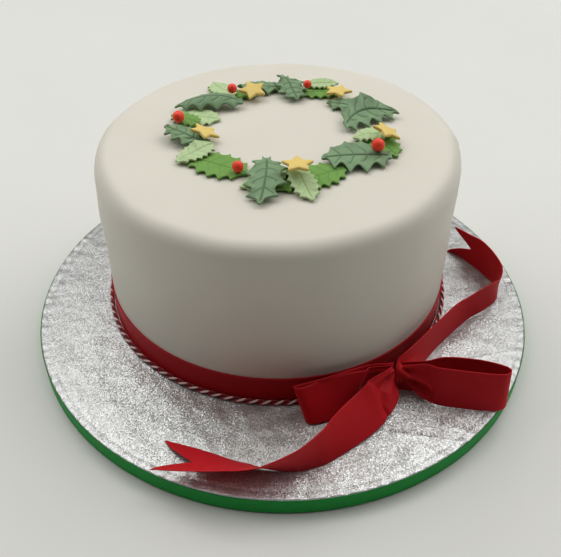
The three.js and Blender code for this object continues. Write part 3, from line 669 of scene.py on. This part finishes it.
bowSettings = {
    "width": 23.0, "thickness": 0.45,
    "colours": {"body": "#C61F27", "shade": "#B21921", "hem": "#C3252D"},
    # swallow tails: depth and deepest place across
    "notches": {"left_tail": (20.0, 0.2), "right_tail": (15.0, 0.0)},
    "pleatDepth": 0.9, "pleatReach": 10.0,
    "pleatTurns": 2.5,  # half waves from the middle to either hem
    "creaseFade": 3.0,  # to either side of a crease's end
    "columns": 33, "stepsPerStation": 18,
    # creases: run, line as (mm along, share across), push along the run's normal, width across
    "creases": [("left_tail", [(3, 0.1), (13, 0.1), (18.5, -0.32), (21, -0.9)], 2.5, 0.34),
                ("right_loop", [(5, -0.5), (11, -0.52), (17, -0.62)], -3.2, 0.3),
                ("right_loop", [(4, -0.05), (14, -0.08), (17.5, -0.3), (19, -0.75)], 1.5, 0.11)],
}
bowRuns = {
    "left_tail": [
        [60.5, -82, 15.5, -0.22, -0.2, 0.95, 0.42], [55.2, -91, 13.2, -0.74, -0.12, 0.66, 1],
        [51.4, -97.7, 11.6, -0.62, 0.25, 0.74, 1], [46.4, -103.3, 10.3, -0.54, 0.4, 0.74, 1],
        [40.6, -109.2, 10.1, -0.44, 0.46, 0.77, 1], [33.4, -116.4, 10.8, -0.32, 0.42, 0.85, 1],
        [26, -123.8, 11.2, -0.2, 0.3, 0.93, 1], [18.9, -130.3, 11.4, -0.07, 0.16, 0.98, 1],
        [6.7, -137.4, 11.4, 0, -0.16, 0.985, 1], [-9, -140.6, 10.5, -0.1, -0.52, 0.85, 1],
        [-19.3, -139.6, 9.6, -0.12, -0.67, 0.73, 1], [-27, -138.1, 8.7, -0.12, -0.73, 0.67, 1],
        [-44, -133.2, 5.9, -0.14, -0.87, 0.46, 1], [-64, -128.3, 3.7, -0.18, -0.95, 0.26, 1],
    ],
    "right_tail": [
        [65.8, -81.1, 16, -0.83, 0.3, 0.47, 0.38], [73.5, -70.5, 13, -0.5, -0.28, 0.82, 1],
        [90.5, -49.8, 11.9, -0.22, -0.16, 0.96, 1], [108.4, -29.8, 10.6, -0.43, -0.27, 0.86, 1],
        [120, -20.9, 10.3, -0.57, -0.3, 0.77, 1], [132.5, -11.3, 11.5, -0.31, -0.31, 0.9, 1],
        [137, -3.2, 10.4, -0.16, -0.5, 0.85, 1], [137.2, 8.3, 10.6, 0.1, -0.42, 0.9, 1],
        [131.7, 22.2, 11.6, 0, 0.01, 1, 1], [122.9, 35, 11.2, 0.11, -0.22, 0.97, 1],
        [114.3, 41.6, 11.6, 0.08, -0.1, 0.99, 1],
    ],
    "right_loop": [
        [66, -80.5, 13.5, 0, 0.15, 0.99, 0.42], [76, -85.4, 12.3, 0.06, 0.35, 0.93, 0.88],
        [84, -89.3, 12.1, -0.03, 0.32, 0.95, 1], [96.5, -91.2, 11.5, 0, 0.35, 0.94, 1],
        [109.4, -93, 11.5, 0, 0.33, 0.94, 1], [118.6, -93.4, 11.8, 0, 0.27, 0.96, 1],
        [122.6, -90.2, 12, -0.02, 0.2, 0.98, 1], [119.5, -86.3, 12, 0, 0.15, 0.99, 1],
        [107, -81.6, 12.1, 0, 0.1, 1, 1], [89, -79.6, 12.3, 0, 0.08, 1, 1],
        [77.5, -79.2, 12, 0, -0.08, 1, 0.86], [66, -77.5, 13, 0, 0, 1, 0.42],
    ],
    "left_loop": [
        [61, -79.4, 12.5, 0, 0, 1, 0.42], [46.4, -82.2, 10.8, 0.2, 0.2, 0.96, 0.62],
        [40.4, -91.2, 11.9, 0.34, 0.4, 0.85, 1], [33.5, -94.2, 11.6, 0.02, 0.42, 0.9, 1],
        [23, -98.5, 11, -0.25, 0.45, 0.86, 1], [13, -102.8, 11.3, -0.28, 0.33, 0.9, 1],
        [8.9, -101.7, 11.5, -0.3, 0.26, 0.92, 1], [11.8, -99.6, 11.4, -0.28, 0.2, 0.94, 1],
        [23.5, -95.5, 11.2, -0.24, 0.22, 0.95, 1], [36, -90.2, 11.6, -0.12, 0.2, 0.97, 1],
        [47, -80, 11.2, 0.03, 0.06, 1, 0.62], [61, -77.5, 13, 0, 0, 1, 0.42],
    ],
    "knot_wrap": [
        [66.5, -77, 16.2, -0.83, 0.3, 0.47, 0.36], [65.8, -81.1, 16.3, -0.83, 0.3, 0.47, 0.39],
        [66.2, -83.6, 14.2, -0.9, 0.35, 0.22, 0.41], [66.0, -81.6, 10.5, -0.95, 0.28, 0.08, 0.42],
        [66.0, -81.2, 5.5, -0.96, 0.26, 0, 0.5], [66.2, -81.6, 0.3, -0.96, 0.2, 0, 0.58],
    ],
}


def throughStations(stations, along):
    # cubic curve through the stations: value and slope meet at each one
    last = len(stations) - 1
    index = np.clip(np.floor(along).astype(int), 0, last - 1)
    t = (along - index)[..., None]
    before, start = stations[np.maximum(index - 1, 0)], stations[index]
    end, after = stations[index + 1], stations[np.minimum(index + 2, last)]
    slopeStart, slopeEnd = (end - before) / 2, (after - start) / 2
    return ((2 * t ** 3 - 3 * t ** 2 + 1) * start + (t ** 3 - 2 * t ** 2 + t) * slopeStart
            + (3 * t ** 2 - 2 * t ** 3) * end + (t ** 3 - t ** 2) * slopeEnd)


def gridNormals(places):
    # unit normals of a grid of places, from the differences along its rows and columns
    normal = np.cross(np.gradient(places, axis=0), np.gradient(places, axis=1))
    return normal / np.maximum(np.linalg.norm(normal, axis=-1, keepdims=True), 1e-9)


def ribbonRun(name, settings):
    # middle surface: along the stations and straight across, gathered into pleats at the
    # knot ends and creased; then half the thickness to either side
    stations = np.array(bowRuns[name], float)
    last = len(stations) - 1
    steps = settings["stepsPerStation"] * last
    share = np.linspace(0, 1, steps + 1)[:, None]
    across = np.linspace(-1, 1, settings["columns"])
    endSpan = np.linalg.norm(stations[-1, :3] - stations[-2, :3])
    depth, apex = settings["notches"].get(name, (0.0, 0.0))
    wedge = 1 - np.abs(across - apex) / (1 - apex * np.sign(across - apex))
    cut = depth / endSpan * wedge * np.maximum(0, 4 * share - 3)  # comes in over the last quarter
    here = throughStations(stations, share * last - cut)
    direction = here[..., 3:6] / np.linalg.norm(here[..., 3:6], axis=-1, keepdims=True)
    half = settings["width"] / 2
    places = here[..., :3] + direction * (across[..., None] * here[..., 6:7] * half)
    places[..., 2] += drumTop
    middle = places[:, settings["columns"] // 2]
    walked = np.concatenate([[0], np.cumsum(np.linalg.norm(np.diff(middle, axis=0), axis=1))])
    fromKnot = walked if name.endswith("tail") else np.minimum(walked, walked[-1] - walked)
    pleat = settings["pleatDepth"] * np.exp(-(fromKnot / settings["pleatReach"]) ** 2)[:, None]
    shift = pleat * np.cos(settings["pleatTurns"] * np.pi * across) * (name != "knot_wrap")
    for runName, line, push, width in settings["creases"]:
        if runName == name:
            bell = creaseBell(walked[:, None], across, np.array(line, float), width, settings["creaseFade"])
            shift = shift + push * bell
    places = places + gridNormals(places) * shift[..., None]
    offset = gridNormals(places) * settings["thickness"] / 2
    shellPlaces, faces, corners = closedShell(places + offset, places - offset)
    surface = np.stack([walked[corners[..., 0]], across[corners[..., 1]] * half], -1)
    return shellPlaces, faces, surface


def creaseBell(walked, across, line, width, fade):
    # a bell across a line of (mm along, share across), faded at the line's two ends
    middle = np.interp(walked, line[:, 0], line[:, 1])
    ends = smoothStep(walked - line[0, 0], -fade, fade) * smoothStep(line[-1, 0] - walked, -fade, fade)
    return ends * np.exp(-((across - middle) / width) ** 2)


knotSettings = {
    "centre": (64.3, -79.2, 21.5),
    "turned": 36,  # degrees
    "half": (4.6, 3.9, 6.4),  # half width, half depth, half height
    "folds": 7, "foldDepth": 0.06, "rows": 26, "columns": 48,
}


def bowKnot(settings):
    # the gathered core that the wrap goes round: an upright ellipsoid with cosine folds
    halfWidth, halfDepth, halfHeight = settings["half"]
    turned = np.radians(settings["turned"])
    rise = np.linspace(-np.pi / 2, np.pi / 2, settings["rows"])[1:-1, None]
    turn = fullTurn(settings["columns"])
    folds = 1 + settings["foldDepth"] * np.cos(settings["folds"] * turn)
    wide = np.cos(rise) * np.cos(turn) * folds * halfWidth
    deep = np.cos(rise) * np.sin(turn) * folds * halfDepth
    places = np.stack([wide * np.cos(turned) - deep * np.sin(turned),
                       wide * np.sin(turned) + deep * np.cos(turned),
                       halfHeight * np.sin(rise) + 0 * turn], -1)
    return turnedSolid(np.array(settings["centre"]) + places)


def tiedBow(settings):
    # the five runs as one piece, and the knot's core
    material = satinRibbon("redBowSatin", settings["colours"], settings["width"])
    places, faces, cornerPlaces = joinShells(ribbonRun(name, settings) for name in bowRuns)
    addPiece("bow_ribbon", places, faces, material, ["bow"], cornerPlaces)
    knotPlaces, knotFaces = bowKnot(knotSettings)
    knot = addPiece("bow_knot", knotPlaces, knotFaces, material, ["bow"])
    knot.data.uv_layers.new(name="surface")


tiedBow(bowSettings)
print("bow made")


# Wreath: leaves, stars and berries

leafCutters = {
    "sage": {"teeth": 4, "scallop": 0.32, "curl": 0.4, "veinDepth": 0.6, "veinWidth": 0.6,
             "columnsPerTooth": 26, "across": 51},
    "green": {"teeth": 5, "scallop": 0.24, "curl": 0.2, "veinDepth": 0.2, "veinWidth": 0.4,
              "columnsPerTooth": 16, "across": 41},
    "pale": {"teeth": 6, "scallop": 0.20, "curl": 0.2, "veinDepth": 0.25, "veinWidth": 0.35,
             "columnsPerTooth": 14, "across": 41},
}
leafSettings = {
    "thickness": 1.4,
    "rimThickness": 0.3,  # share of the thickness
    "rimPower": 14,  # higher for a sharper shoulder
    "tipPower": 60,
    "firstTooth": 0.12, "lastTooth": 0.82,
    "hollowFade": 1.6,  # hollows are shallower where the leaf is narrow
    "sweep": 0.04,
    "crowding": 0.75,  # columns stand closer at the midrib and the rim
    "smoothRounds": 24, "curlPower": 4,
    "midribFrom": (0.02, 0.1), "midribTo": (0.01, 0.08),
    "veins": 4,
    "veinStarts": (0.16, 0.72),  # along the midrib
    "veinSweep": 0.16, "veinBend": 1.4, "veinReach": 0.86, "veinFade": 0.25,
    "sideVein": {"width": 0.8, "depth": 0.9},  # shares of the midrib's
    # veinShadeShare: how far the painted shade in the veins goes towards the deep colour
    "veinShadeShare": 0.85, "roughness": 0.62,
}
# middle from the cake's axis, heading of the tip in degrees, length, width and the midrib's
# sideways curve
leafPlaces = {
    "pale_leaf_left": (-47.5, 22.5, 345, 29, 21, 0),
    "green_leaf_left": (-53.5, 16.5, 325, 21, 14, 0),
    "green_leaf_left_front": (-31.5, -31.5, 332, 38, 25, 0),
    "green_leaf_right_front": (22.5, -42.5, 205, 30, 24, 0),
    "green_leaf_right": (58, -9.5, 294, 34, 18, 0),
    "green_leaf_back_right": (26, 52, 0, 30, 17, 0),
    "green_leaf_back_left": (-23, 50, 186, 24, 13, 0),
    "green_leaf_front": (1.5, -45.5, 295, 26, 18, 0),
    "pale_leaf_front": (-6.5, -48, 200, 27, 14, 0),
    "pale_leaf_right": (53.5, -3.5, 190, 23, 15, 0),
    "pale_leaf_back_left": (-34.5, 55, 120, 28, 16, 0),
    "pale_leaf_back_right": (27, 59, 4, 22.5, 11, 0),
    "sage_leaf_left": (-51, -4, 149, 31, 19, 0),
    "pale_leaf_left_front": (-44.5, -20.5, 42, 25, 16.5, 0),
    "pale_leaf_right_front": (13, -51, 290, 31, 15.5, 0),
    "sage_leaf_back_left": (-9.5, 58, 178, 32, 18, 0),
    "sage_leaf_back_right": (45, 33, 165, 32, 20, 0),
    "sage_leaf_front": (-6.5, -48.5, 266, 42, 23, 1.5),
    "sage_leaf_right_front": (42.5, -27, 183, 38, 30, -2),
    "sage_leaf_right_back": (52.6, 17, 26, 36, 27, 10),
    "sage_leaf_back": (8.3, 54, 284, 31, 19.5, 0),
    "sage_leaf_left_back": (-41.5, 35, 186, 41, 19, -3.5),
}
# body and deep colour of each paste; the deep one shows as random tint and as painted shade in the veins
pasteColours = {
    "sage": ("#7E9C74", "#4C664A"),
    "green": ("#74A14A", "#4C7A32"),
    "pale": ("#B9CF9C", "#92AE74"),
}


def topHeights(nodeName, x, y):
    # height of a solid's upper faces over plan places, by the triangle that best holds each
    leastUp = 0.2  # a normal's upward share on an upper face
    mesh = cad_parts[nodeName].data
    mesh.calc_loop_triangles()
    places = np.array([vertex.co for vertex in mesh.vertices], float)
    corners = places[np.array([face.vertices for face in mesh.loop_triangles])] / mm
    normal = np.cross(corners[:, 1] - corners[:, 0], corners[:, 2] - corners[:, 0])
    corners = corners[normal[:, 2] > leastUp * np.linalg.norm(normal, axis=1)]
    a, b, c = corners[:, 0], corners[:, 1], corners[:, 2]
    area = (b[:, 0] - a[:, 0]) * (c[:, 1] - a[:, 1]) - (c[:, 0] - a[:, 0]) * (b[:, 1] - a[:, 1])
    px, py = x.reshape(-1, 1), y.reshape(-1, 1)
    p = ((b[:, 0] - px) * (c[:, 1] - py) - (c[:, 0] - px) * (b[:, 1] - py)) / area
    q = ((c[:, 0] - px) * (a[:, 1] - py) - (a[:, 0] - px) * (c[:, 1] - py)) / area
    best = np.minimum(np.minimum(p, q), 1 - p - q).argmax(1)
    row = np.arange(len(best))
    p, q = p[row, best], q[row, best]
    height = p * a[best, 2] + q * b[best, 2] + (1 - p - q) * c[best, 2]
    return height.reshape(x.shape)


def evenOut(height, rounds):
    # each place moves halfway to the mean of its two neighbours, along then across
    for _ in range(2 * rounds):
        wide = np.pad(height, [(1, 1), (0, 0)], mode="edge")
        height = (0.5 * height + 0.25 * (wide[:-2] + wide[2:])).T
    return height


def toothReach(share):
    # half width over the tooth tips: full in the middle, narrowing to both ends
    fullest, flatness, roundness, least = 0.48, 2.6, 0.7, 0.05
    fall = np.minimum(1, np.abs(2 * (share - fullest)) ** flatness)
    return np.maximum(least, (1 - fall) ** roundness)


def leafOutline(cutter, settings):
    # share along the leaf and half width: straight from tooth to tooth less a sine hollow
    teeth = np.linspace(settings["firstTooth"], settings["lastTooth"], cutter["teeth"])
    toothPlaces = np.concatenate([[0], teeth, [1]])
    spans = len(toothPlaces) - 1
    fine = np.linspace(0, spans, spans * cutter["columnsPerTooth"] + 1)
    span = np.minimum(fine.astype(int), spans - 1)
    t = fine - span
    share = toothPlaces[span] + t * (toothPlaces[span + 1] - toothPlaces[span])
    reach = toothReach(toothPlaces)
    straight = reach[span] + t * (reach[span + 1] - reach[span])
    shallow = np.minimum(1, settings["hollowFade"] * straight)
    halfWidth = straight - cutter["scallop"] * np.sin(np.pi * t) * shallow
    return share[:, None], halfWidth[:, None], teeth[1] - teeth[0]


def leafVeins(share, across, side, length, cutter, settings):
    # how far the veining tool presses: bells across the midrib and across curved side veins; the same value
    # also paints shade into the veins
    sideVein = settings["sideVein"]
    midrib = np.exp(-(side / cutter["veinWidth"]) ** 2) * smoothStep(share, *settings["midribFrom"])
    midrib = midrib * smoothStep(1 - share, *settings["midribTo"])
    starts = np.linspace(*settings["veinStarts"], settings["veins"])[:, None, None]
    away = (share - starts - settings["veinSweep"] * np.abs(across) ** settings["veinBend"]) * length
    fade = smoothStep(settings["veinReach"] - np.abs(across), 0, settings["veinFade"])
    sides = (np.exp(-(away / (sideVein["width"] * cutter["veinWidth"])) ** 2) * fade).max(0)
    return np.maximum(midrib, sideVein["depth"] * sides)


def hollyLeaf(name, place, settings):
    # rows run along the midrib and columns across; height follows the solid below, smoothed,
    # with curled teeth and veins; thinner towards the rim
    tint = name.split("_")[0]
    cutter = leafCutters[tint]
    x0, y0, heading, length, width, bow = place
    share, halfWidth, pitch = leafOutline(cutter, settings)
    even = np.linspace(-1, 1, cutter["across"])
    across = even - settings["crowding"] * np.sin(2 * np.pi * even) / (2 * np.pi)
    forward = length * (share - 0.5 + settings["sweep"] * across ** 2 * np.sin(np.pi * share))
    side = across * halfWidth * width / 2
    bowed = side + bow * (4 * share * (1 - share) - 0.5)
    turn = np.radians(heading)
    x = cakeCentre[0] + x0 + forward * np.cos(turn) - bowed * np.sin(turn)
    y = cakeCentre[1] + y0 + forward * np.sin(turn) + bowed * np.cos(turn)
    wave = np.cos(2 * np.pi * (share - settings["firstTooth"]) / pitch)
    veinPressAndShade = leafVeins(share, across, side, length, cutter, settings)
    height = evenOut(topHeights(name, x, y), settings["smoothRounds"])
    height = height - cutter["curl"] * wave * np.abs(across) ** settings["curlPower"]
    height = height - cutter["veinDepth"] * veinPressAndShade
    toRim = np.sqrt(np.maximum(0, 1 - np.abs(across) ** settings["rimPower"]))
    toTip = np.sqrt(np.maximum(0, 1 - np.abs(2 * share - 1) ** settings["tipPower"]))
    rim = settings["rimThickness"]
    thick = settings["thickness"] * (rim + (1 - rim) * toRim * toTip)
    middle = height - settings["thickness"] / 2
    upper = np.stack([x, y, middle + thick / 2], -1)
    lower = np.stack([x, y, middle - thick / 2], -1)
    places, faces, _ = closedShell(upper, lower)
    piece = addPiece(name.replace("_leaf", "_holly"), places, faces, leafMaterials[tint],
                     [name])
    # the veins' depth also darkens the upper face as painted shade
    onTop = settings["veinShadeShare"] * veinPressAndShade.ravel()
    addFloats(piece, "veinPressAndShade", np.concatenate([onTop, np.zeros(veinPressAndShade.size)]))


leafMaterials = {tint: flowerPaste(f"{tint}FlowerPaste", *colours, leafSettings["roughness"])
                 for tint, colours in pasteColours.items()}
for leafName, leafPlace in leafPlaces.items():
    hollyLeaf(leafName, leafPlace, leafSettings)
print("leaves made:", len(leafPlaces))

starSettings = {
    "tip": 9.2, "valley": 4.9, "thickness": 2.3, "columns": 160, "rings": 24,
    "rimPower": 0.28,  # lower for a squarer rim
    "facePower": 0.55,
    "fall": 0.12,  # share of the thickness lost at the tips
}
# turn in the plane, then tilt about X and about Y, in degrees
starTurns = {
    "star_left": (39, -7, 18),
    "star_front": (2, -5, 0),
    "star_right": (22, -5, 22),
    "star_back_right": (49, -4, 0),
    "star_back_left": (25, 12, 0),
}


def cutStar(name, turns, settings, material):
    # outline: straight lines from tip to valley, softened; section: a flat lens with round
    # edges; turned, tilted and set where the solid is
    tip, valley = settings["tip"], settings["valley"]
    fifth = 2 * np.pi / 5
    turn = fullTurn(settings["columns"])
    sector = np.abs((turn / fifth + 0.5) % 1 - 0.5) * fifth  # angle from the nearest tip
    valleyX, valleyY = valley * np.cos(fifth / 2), valley * np.sin(fifth / 2)
    outline = tip * valleyY / (np.sin(sector) * (tip - valleyX) + np.cos(sector) * valleyY)
    kernel = np.array([1, 4, 6, 4, 1]) / 16
    outline = sum(weight * np.roll(outline, k - 2) for k, weight in enumerate(kernel))
    lean = np.linspace(-np.pi / 2, np.pi / 2, settings["rings"] + 2)[1:-1]
    spread = np.cos(lean) ** settings["rimPower"]
    rise = np.sign(np.sin(lean)) * np.abs(np.sin(lean)) ** settings["facePower"]
    ring = spread[:, None] * outline
    x, y = ring * np.cos(turn + np.pi / 2), ring * np.sin(turn + np.pi / 2)
    z = settings["thickness"] / 2 * rise[:, None] * (1 - settings["fall"] * (ring / tip) ** 2)
    inPlane, aboutX, aboutY = np.radians(turns)
    spin = (Matrix.Rotation(aboutY, 3, "Y") @ Matrix.Rotation(aboutX, 3, "X")
            @ Matrix.Rotation(inPlane, 3, "Z"))
    places = np.stack([x, y, z], -1) @ np.array(spin).T
    flat = places.reshape(-1, 3)
    low, high = (np.array(corner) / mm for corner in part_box(name))
    places = places + (low + high) / 2 - (flat.min(0) + flat.max(0)) / 2
    shell, faces = turnedSolid(places)
    piece = addPiece("sugar_" + name, shell, faces, material, [name])
    addFloats(piece, "veinPressAndShade", np.zeros(len(shell)))


starPaste = flowerPaste("yellowFlowerPaste", "#E6CA76", "#D0AD56", roughness=0.6)
for starName, turns in starTurns.items():
    cutStar(starName, turns, starSettings, starPaste)
print("stars made:", len(starTurns))


berrySettings = {
    "rows": 34, "columns": 48,
    "uneven": 0.018,  # share of the radius
    "unevenSize": 1.1,  # in radii
    "slant": (0.7, -0.6),  # of the waves, up the ball
    "firstSeed": 20,
}


def rolledBerry(name, seed, settings, material):
    # a ball rolled by hand: a sphere whose radius swells by slanted waves, where the solid is
    low, high = (np.array(corner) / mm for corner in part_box(name))
    centre, radius = (low + high) / 2, (high - low).max() / 2
    rise = np.linspace(-np.pi / 2, np.pi / 2, settings["rows"])[1:-1, None]
    turn = fullTurn(settings["columns"])
    x, y, z = np.cos(rise) * np.cos(turn), np.cos(rise) * np.sin(turn), np.sin(rise) + 0 * turn
    slantX, slantY = settings["slant"]
    swell = waves(x + slantX * z, y + slantY * z, settings["unevenSize"], seed)
    reach = radius * (1 + settings["uneven"] * swell)
    shell, faces = turnedSolid(centre + np.stack([x, y, z], -1) * reach[..., None])
    piece = addPiece("sugar_" + name, shell, faces, material, [name])
    addFloats(piece, "veinPressAndShade", np.zeros(len(shell)))


berryPaste = flowerPaste("redFlowerPaste", "#FF4A32", "#D43022", roughness=0.42)
berryNames = sorted(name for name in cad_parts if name.startswith("berry"))
for seed, berryName in enumerate(berryNames, berrySettings["firstSeed"]):
    rolledBerry(berryName, seed, berrySettings, berryPaste)
print("berries made:", len(berryNames))
